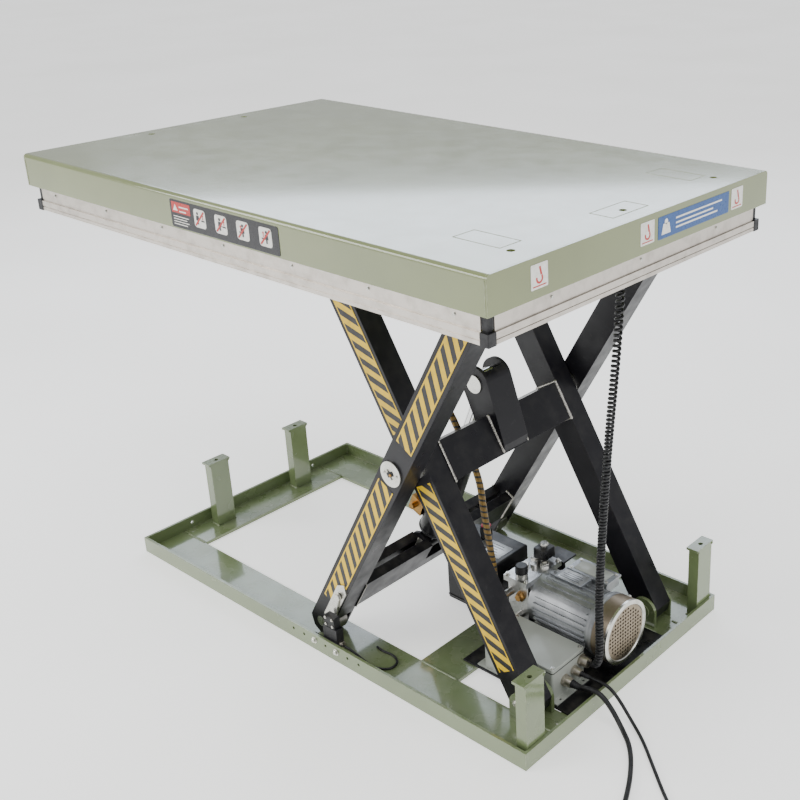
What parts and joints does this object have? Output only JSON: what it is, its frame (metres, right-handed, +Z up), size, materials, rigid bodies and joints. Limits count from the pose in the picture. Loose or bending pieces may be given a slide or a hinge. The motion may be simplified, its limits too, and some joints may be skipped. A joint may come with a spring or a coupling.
{
  "type": "scissor lift table",
  "caption": "Electro-hydraulic single scissor lift table with a steel deck, safety trip edge, base frame with support posts and an internal power pack.",
  "frame": {"origin": "on the floor, under the centre of the deck", "axes": "+Z up, +X along the deck towards the power pack and the fixed pivots, -Y the side with the warning strip"},
  "size_m": [1.7765, 0.94, 0.9716],
  "materials": {
    "green_paint": "gloss olive-green paint",
    "black_paint": "satin black paint",
    "zinc_steel": "zinc plated",
    "chromed_steel": "polished chrome",
    "brass": "nickel-plated, satin",
    "cast_iron": "black oxide",
    "aluminium": "mill finish",
    "grey_paint": "light grey paint",
    "black_plastic": "matt",
    "rubber": "matt",
    "label_film": "printed vinyl",
    "red_plastic": "gloss",
    "white_plastic": "gloss"
  },
  "bodies": {
    "base": {"base_rail_front": "green_paint", "base_rail_rear": "green_paint", "base_rail_left": "green_paint", "base_rail_right": "green_paint", "base_cross_plate": "green_paint", "support_posts": "green_paint", "power_pack_tray": "black_paint", "base_pivot_brackets": "green_paint", "oil_tank": "black_paint", "valve_block": "aluminium", "valve_fittings": "zinc_steel", "motor_housing": "aluminium", "fan_cover": "grey_paint", "terminal_box": "grey_paint", "junction_box": "grey_paint", "junction_box_lid": "grey_paint", "cable_glands": "brass", "fasteners": "zinc_steel", "limit_switch_body": "black_plastic", "limit_switch_cable": "rubber", "curly_cord": "rubber", "mains_cable": "rubber", "mains_cable_coil": "rubber", "mains_plug": "black_plastic", "pendant_cable": "rubber", "pendant_cable_coil": "rubber", "pendant_case": "black_plastic", "hydraulic_hose_lower": "rubber"},
    "inner_arms": {"inner_arm_front": "black_paint", "inner_arm_rear": "black_paint", "inner_cross_tube": "black_paint", "cylinder_lug": "black_paint", "inner_arm_pins": "zinc_steel", "hydraulic_hose_upper": "rubber"},
    "outer_arms": {"outer_arm_front": "black_paint", "outer_arm_rear": "black_paint", "outer_cross_beam": "black_paint", "outer_arm_pins": "zinc_steel", "switch_cam": "zinc_steel"},
    "platform": {"deck_sheet": "green_paint", "deck_end_plates": "green_paint", "deck_underframe": "green_paint", "deck_pivot_brackets": "green_paint", "deck_labels": "label_film"},
    "safety_frame": {"safety_edge_long": "aluminium", "safety_edge_short": "aluminium", "safety_corners": "black_plastic"},
    "cylinder_barrel": {"cylinder_barrel": "black_paint", "burst_valve": "cast_iron"},
    "cylinder_rod": {"cylinder_rod": "chromed_steel"},
    "base_roller_front": {"base_roller_front": "zinc_steel"},
    "base_roller_rear": {"base_roller_rear": "zinc_steel"},
    "deck_roller_front": {"deck_roller_front": "zinc_steel"},
    "deck_roller_rear": {"deck_roller_rear": "zinc_steel"},
    "motor_rotor": {"motor_rotor": "aluminium"},
    "filler_cap": {"filler_cap": "black_plastic"},
    "switch_lever": {"limit_switch_lever": "zinc_steel"},
    "up_button": {"pendant_up_button": "white_plastic"},
    "down_button": {"pendant_down_button": "white_plastic"},
    "stop_button": {"pendant_stop_button": "red_plastic"}
  },
  "joints": [
    {"name": "lift", "type": "hinge", "parent": "base", "child": "inner_arms", "pos_m": [0.5385, 0, 0.042], "axis": [0, 1, 0], "range_deg": [-53.39, 0], "deforming": ["curly_cord", "hydraulic_hose_lower"]},
    {"name": "scissor_centre", "type": "hinge", "parent": "inner_arms", "child": "outer_arms", "pos_m": [0.28092, 0, 0.47928], "axis": [0, 1, 0], "range_deg": [0, 106.8], "deforming": ["hydraulic_hose_upper"]},
    {"name": "deck_pivot", "type": "hinge", "parent": "outer_arms", "child": "platform", "pos_m": [0.5385, 0, 0.91655], "axis": [0, 1, 0], "range_deg": [-53.4, 0]},
    {"name": "trip_edge", "type": "slide", "parent": "platform", "child": "safety_frame", "axis": [0, 0, 1], "range_m": [0, 0.01], "stiffness_N_per_m": 9000, "springref_m": -0.006},
    {"name": "cylinder_foot", "type": "hinge", "parent": "outer_arms", "child": "cylinder_barrel", "pos_m": [0.07791, 0, 0.13462], "axis": [0, 1, 0], "range_deg": [-1.3, 0]},
    {"name": "rod_stroke", "type": "slide", "parent": "cylinder_barrel", "child": "cylinder_rod", "axis": [0.3937, 0, 0.9192], "range_m": [-0.1466, 0]},
    {"name": "base_roller_front_spin", "type": "hinge", "parent": "outer_arms", "child": "base_roller_front", "pos_m": [0.02335, 0, 0.042], "axis": [0, 1, 0], "continuous": true},
    {"name": "base_roller_rear_spin", "type": "hinge", "parent": "outer_arms", "child": "base_roller_rear", "pos_m": [0.02335, 0, 0.042], "axis": [0, 1, 0], "continuous": true},
    {"name": "deck_roller_front_spin", "type": "hinge", "parent": "inner_arms", "child": "deck_roller_front", "pos_m": [0.02335, 0, 0.91655], "axis": [0, 1, 0], "continuous": true},
    {"name": "deck_roller_rear_spin", "type": "hinge", "parent": "inner_arms", "child": "deck_roller_rear", "pos_m": [0.02335, 0, 0.91655], "axis": [0, 1, 0], "continuous": true},
    {"name": "motor_shaft", "type": "hinge", "parent": "base", "child": "motor_rotor", "pos_m": [0.54, 0.022, 0.096], "axis": [1, 0, 0], "continuous": true},
    {"name": "filler_cap_turn", "type": "hinge", "parent": "base", "child": "filler_cap", "pos_m": [0.207, 0.041, 0.17], "axis": [0, 0, 1], "range_deg": [0, 90]},
    {"name": "switch_lever", "type": "hinge", "parent": "base", "child": "switch_lever", "pos_m": [0.083, -0.289, 0.082], "axis": [0, 1, 0], "range_deg": [-12, 12], "stiffness_Nm_per_rad": 0.08},
    {"name": "up_press", "type": "slide", "parent": "base", "child": "up_button", "axis": [0, 0, -1], "range_m": [0, 0.003], "stiffness_N_per_m": 400, "springref_m": -0.001},
    {"name": "down_press", "type": "slide", "parent": "base", "child": "down_button", "axis": [0, 0, -1], "range_m": [0, 0.003], "stiffness_N_per_m": 400, "springref_m": -0.001},
    {"name": "stop_press", "type": "slide", "parent": "base", "child": "stop_button", "axis": [0, 0, -1], "range_m": [0, 0.003], "stiffness_N_per_m": 600, "springref_m": -0.001}
  ],
  "couplings": [
    {"joint": "scissor_centre", "follows": "lift", "ratio": -2},
    {"joint": "deck_pivot", "follows": "lift", "ratio": 1},
    {"joint": "cylinder_foot", "follows": "lift", "ratio": 0.023142},
    {"joint": "rod_stroke", "follows": "lift", "m_per_rad": 0.15724}
  ]
}
